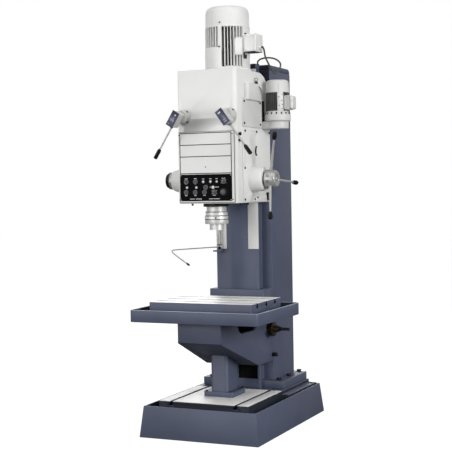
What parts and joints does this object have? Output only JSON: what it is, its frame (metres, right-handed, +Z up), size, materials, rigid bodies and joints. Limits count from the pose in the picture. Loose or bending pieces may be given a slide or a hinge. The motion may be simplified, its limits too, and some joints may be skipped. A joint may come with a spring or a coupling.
{
  "type": "box column drilling machine",
  "caption": "Upright box-column drilling machine: travelling gear head with rack-fed spindle, lifting slotted table in a coolant tray, and slotted base.",
  "frame": {"origin": "middle of the base's underside, on the floor", "axes": "+X to the right seen from the front, +Y to the back (the column), +Z up"},
  "size_m": [1.028, 1.456, 3.212],
  "materials": {
    "navy_paint": "semi-gloss paint on cast iron",
    "white_paint": "semi-gloss paint on cast iron",
    "label_blue": "printed plate",
    "ground_steel": "ground",
    "turned_steel": "turned",
    "inner_steel": "machined, oiled",
    "pipe_metal": "plated",
    "bronze": "machined",
    "black_plastic": "moulded",
    "black_metal": "blackened",
    "key_plastic": "moulded",
    "lens": "moulded",
    "cable_rubber": "matt sheath"
  },
  "bodies": {
    "frame": {"base": "navy_paint", "column": "navy_paint", "way_strips": "ground_steel", "column_cap": "navy_paint", "foot_bolts": "black_metal", "lift_post": "navy_paint", "lift_nut": "bronze", "coolant_bracket": "navy_paint", "coolant_pipe": "pipe_metal", "motor_cable": "cable_rubber"},
    "knee": {"knee": "navy_paint", "coolant_tray": "navy_paint", "work_table": "ground_steel", "crank_bearing": "black_metal"},
    "crank": {"crank_shaft": "turned_steel"},
    "cross_shaft": {"cross_shaft": "inner_steel"},
    "long_shaft": {"long_shaft": "inner_steel"},
    "lift_screw": {"lift_screw": "turned_steel"},
    "knee_clamp": {"knee_clamp": "black_metal"},
    "head": {"head_casing": "white_paint", "quill_collar": "black_metal", "front_panel": "white_paint", "switch_panel": "black_plastic", "panel_lamps": "lens", "side_covers": "white_paint", "cover_screws": "black_metal", "shift_bosses": "white_paint", "main_motor": "white_paint", "motor_cowl": "white_paint", "terminal_box": "white_paint", "pump_base": "white_paint", "pump_motor": "white_paint", "pump_cowl": "white_paint", "eye_bolt": "turned_steel"},
    "head_clamp": {"head_clamp": "black_metal"},
    "quill": {"quill": "ground_steel", "nose_ring": "ground_steel", "spindle_bearings": "inner_steel"},
    "feed": {"feed_shaft": "inner_steel", "feed_hub": "ground_steel", "feed_spokes": "turned_steel", "feed_knobs": "black_plastic", "feed_dial": "turned_steel"},
    "spindle": {"spindle": "ground_steel"},
    "drive_sleeve": {"drive_sleeve": "inner_steel"},
    "layshaft": {"layshaft": "inner_steel"},
    "motor_rotor": {"motor_rotor": "inner_steel"},
    "pump_rotor": {"pump_rotor": "inner_steel"},
    "speed_lever_left": {"speed_lever_left": "label_blue"},
    "speed_lever_right": {"speed_lever_right": "label_blue"},
    "stop_button": {"stop_button": "black_plastic"},
    "coolant_nozzle": {"coolant_nozzle": "turned_steel"},
    "button_1": {"button_1": "key_plastic"},
    "button_2": {"button_2": "key_plastic"},
    "button_3": {"button_3": "key_plastic"},
    "button_4": {"button_4": "key_plastic"},
    "button_5": {"button_5": "key_plastic"},
    "button_6": {"button_6": "key_plastic"},
    "selector_1": {"selector_1": "key_plastic"},
    "selector_2": {"selector_2": "key_plastic"}
  },
  "joints": [
    {"name": "knee_slide", "type": "slide", "parent": "frame", "child": "knee", "axis": [0, 0, 1], "range_m": [-0.1, 0.15]},
    {"name": "crank_turn", "type": "hinge", "parent": "knee", "child": "crank", "pos_m": [0.3, 0.11, 0.74], "axis": [1, 0, 0], "range_deg": [-5200, 7800]},
    {"name": "cross_shaft_turn", "type": "hinge", "parent": "knee", "child": "cross_shaft", "pos_m": [0.1, 0.034, 0.74], "axis": [1, 0, 0], "range_deg": [-4510, 3010]},
    {"name": "long_shaft_turn", "type": "hinge", "parent": "knee", "child": "long_shaft", "pos_m": [0, -0.08, 0.74], "axis": [0, 1, 0], "range_deg": [-4510, 3010]},
    {"name": "lift_screw_turn", "type": "hinge", "parent": "knee", "child": "lift_screw", "pos_m": [0, -0.207, 0.6], "axis": [0, 0, 1], "range_deg": [-3010, 4510]},
    {"name": "knee_clamp_turn", "type": "hinge", "parent": "knee", "child": "knee_clamp", "pos_m": [0.25, 0.188, 0.527], "axis": [1, 0, 0], "range_deg": [0, 90]},
    {"name": "head_slide", "type": "slide", "parent": "frame", "child": "head", "axis": [0, 0, 1], "range_m": [-0.12, 0.08], "deforming": ["motor_cable"]},
    {"name": "head_clamp_turn", "type": "hinge", "parent": "head", "child": "head_clamp", "pos_m": [0.26, 0.1, 1.79], "axis": [1, 0, 0], "range_deg": [-45, 45]},
    {"name": "quill_slide", "type": "slide", "parent": "head", "child": "quill", "axis": [0, 0, -1], "range_m": [0, 0.25]},
    {"name": "feed_turn", "type": "hinge", "parent": "head", "child": "feed", "pos_m": [0, -0.17, 1.902], "axis": [1, 0, 0], "range_deg": [0, 248]},
    {"name": "spindle_spin", "type": "hinge", "parent": "quill", "child": "spindle", "pos_m": [0, -0.299, 1.6], "axis": [0, 0, 1], "continuous": true},
    {"name": "drive_sleeve_spin", "type": "hinge", "parent": "head", "child": "drive_sleeve", "pos_m": [0, -0.299, 2.4], "axis": [0, 0, 1], "continuous": true},
    {"name": "layshaft_spin", "type": "hinge", "parent": "head", "child": "layshaft", "pos_m": [0.10788, -0.20977, 2.5], "axis": [0, 0, 1], "continuous": true},
    {"name": "motor_spin", "type": "hinge", "parent": "head", "child": "motor_rotor", "pos_m": [0.03, -0.112, 2.9], "axis": [0, 0, 1], "continuous": true},
    {"name": "pump_spin", "type": "hinge", "parent": "head", "child": "pump_rotor", "pos_m": [0.345, 0.106, 2.5], "axis": [0, 0, 1], "continuous": true},
    {"name": "speed_lever_left_turn", "type": "hinge", "parent": "head", "child": "speed_lever_left", "pos_m": [-0.187, -0.45, 2.372], "axis": [0, 1, 0], "range_deg": [-30, 30]},
    {"name": "speed_lever_right_turn", "type": "hinge", "parent": "head", "child": "speed_lever_right", "pos_m": [0.187, -0.45, 2.372], "axis": [0, 1, 0], "range_deg": [-30, 30]},
    {"name": "button_1_push", "type": "slide", "parent": "head", "child": "button_1", "axis": [0, 1, 0], "range_m": [0, 0.004], "stiffness_N_per_m": 800, "springref_m": -0.001},
    {"name": "button_2_push", "type": "slide", "parent": "head", "child": "button_2", "axis": [0, 1, 0], "range_m": [0, 0.004], "stiffness_N_per_m": 800, "springref_m": -0.001},
    {"name": "button_3_push", "type": "slide", "parent": "head", "child": "button_3", "axis": [0, 1, 0], "range_m": [0, 0.004], "stiffness_N_per_m": 800, "springref_m": -0.001},
    {"name": "button_4_push", "type": "slide", "parent": "head", "child": "button_4", "axis": [0, 1, 0], "range_m": [0, 0.004], "stiffness_N_per_m": 800, "springref_m": -0.001},
    {"name": "button_5_push", "type": "slide", "parent": "head", "child": "button_5", "axis": [0, 1, 0], "range_m": [0, 0.004], "stiffness_N_per_m": 800, "springref_m": -0.001},
    {"name": "button_6_push", "type": "slide", "parent": "head", "child": "button_6", "axis": [0, 1, 0], "range_m": [0, 0.004], "stiffness_N_per_m": 800, "springref_m": -0.001},
    {"name": "stop_push", "type": "slide", "parent": "head", "child": "stop_button", "axis": [0, 1, 0], "range_m": [0, 0.004]},
    {"name": "selector_1_turn", "type": "hinge", "parent": "head", "child": "selector_1", "pos_m": [0.131, -0.452, 1.889], "axis": [0, 1, 0], "range_deg": [-45, 45]},
    {"name": "selector_2_turn", "type": "hinge", "parent": "head", "child": "selector_2", "pos_m": [0.055, -0.452, 1.811], "axis": [0, 1, 0], "range_deg": [-45, 45]},
    {"name": "nozzle_swing", "type": "hinge", "parent": "frame", "child": "coolant_nozzle", "pos_m": [-0.137, 0.04, 1.377], "axis": [0, 0, 1], "range_deg": [-60, 10]}
  ],
  "couplings": [
    {"joint": "lift_screw_turn", "follows": "knee_slide", "rad_per_m": 523.6},
    {"joint": "long_shaft_turn", "follows": "knee_slide", "rad_per_m": -523.6},
    {"joint": "cross_shaft_turn", "follows": "knee_slide", "rad_per_m": -523.6},
    {"joint": "crank_turn", "follows": "knee_slide", "rad_per_m": 897.6},
    {"joint": "feed_turn", "follows": "quill_slide", "rad_per_m": 17.241},
    {"joint": "drive_sleeve_spin", "follows": "spindle_spin", "ratio": 1},
    {"joint": "layshaft_spin", "follows": "spindle_spin", "ratio": -3},
    {"joint": "motor_spin", "follows": "spindle_spin", "ratio": 9.5}
  ]
}
